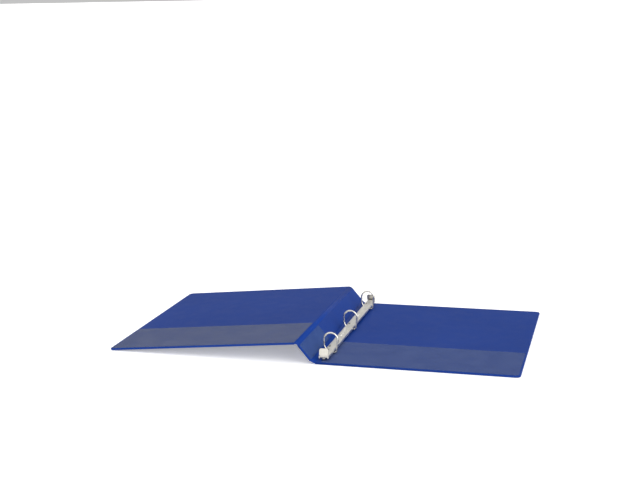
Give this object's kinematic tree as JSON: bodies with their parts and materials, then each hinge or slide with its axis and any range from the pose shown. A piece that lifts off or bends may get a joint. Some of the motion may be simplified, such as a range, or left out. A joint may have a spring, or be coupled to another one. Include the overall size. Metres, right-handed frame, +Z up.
{
  "type": "ring binder",
  "caption": "Open ring binder in heat-sealed vinyl over board, with clear film pockets and a slanted-ring metal mechanism with opening triggers.",
  "frame": {"origin": "on the table, under the middle of the open binder's bounding box", "axes": "+X from the front cover to the back cover, +Y along the spine to the binder's top edge, +Z up"},
  "size_m": [0.5433, 0.296, 0.032],
  "materials": {
    "board": "matt grey board",
    "outer_vinyl": "soft blue vinyl, fine grain",
    "inner_vinyl": "soft blue vinyl, fine grain",
    "clear_film": "clear soft film, slightly hazy",
    "plate_steel": "satin nickel plate",
    "rail_steel": "satin nickel plate",
    "ring_wire": "bright nickel plate",
    "trigger_steel": "bright nickel plate"
  },
  "bodies": {
    "back_cover": {"back_board": "board", "back_outer_skin": "outer_vinyl", "back_inner_liner": "inner_vinyl", "back_pocket": "clear_film", "back_hinge_film": "outer_vinyl", "ring_shield": "plate_steel", "mounting_rivets": "plate_steel", "bottom_trigger_pin": "plate_steel", "top_trigger_pin": "plate_steel"},
    "spine": {"spine_board": "board", "spine_outer_skin": "outer_vinyl", "spine_inner_liner": "inner_vinyl", "spine_pocket": "clear_film", "spine_overlay": "clear_film", "front_hinge_film": "outer_vinyl"},
    "front_cover": {"front_board": "board", "front_outer_skin": "outer_vinyl", "front_inner_liner": "inner_vinyl", "front_pocket": "clear_film", "front_overlay": "clear_film"},
    "left_rail": {"left_rail": "rail_steel", "left_ring_bottom": "ring_wire", "left_ring_middle": "ring_wire", "left_ring_top": "ring_wire"},
    "right_rail": {"right_rail": "rail_steel", "right_ring_bottom": "ring_wire", "right_ring_middle": "ring_wire", "right_ring_top": "ring_wire"},
    "bottom_trigger": {"bottom_trigger": "trigger_steel"},
    "top_trigger": {"top_trigger": "trigger_steel"}
  },
  "joints": [
    {"name": "spine_hinge", "type": "hinge", "parent": "back_cover", "child": "spine", "pos_m": [0.00973, 0, 0.0021], "axis": [0, 1, 0], "range_deg": [-140, 40], "deforming": ["back_hinge_film"]},
    {"name": "front_cover_hinge", "type": "hinge", "parent": "spine", "child": "front_cover", "pos_m": [-0.01084, 0, 0.02661], "axis": [0, 1, 0], "range_deg": [-34.63, 145.37], "deforming": ["front_hinge_film"]},
    {"name": "left_rail_swing", "type": "hinge", "parent": "back_cover", "child": "left_rail", "pos_m": [0.01723, 0, 0.007], "axis": [0, -1, 0], "range_deg": [0, 11]},
    {"name": "right_rail_swing", "type": "hinge", "parent": "back_cover", "child": "right_rail", "pos_m": [0.02723, 0, 0.007], "axis": [0, 1, 0], "range_deg": [0, 11]},
    {"name": "bottom_trigger_swing", "type": "hinge", "parent": "back_cover", "child": "bottom_trigger", "pos_m": [0.02223, -0.138, 0.0075], "axis": [1, 0, 0], "range_deg": [0, 15.4]},
    {"name": "top_trigger_swing", "type": "hinge", "parent": "back_cover", "child": "top_trigger", "pos_m": [0.02223, 0.138, 0.0075], "axis": [-1, 0, 0], "range_deg": [0, 15.4]}
  ],
  "couplings": [
    {"joint": "right_rail_swing", "follows": "left_rail_swing", "ratio": 1},
    {"joint": "bottom_trigger_swing", "follows": "left_rail_swing", "ratio": 1.4},
    {"joint": "top_trigger_swing", "follows": "left_rail_swing", "ratio": 1.4}
  ]
}
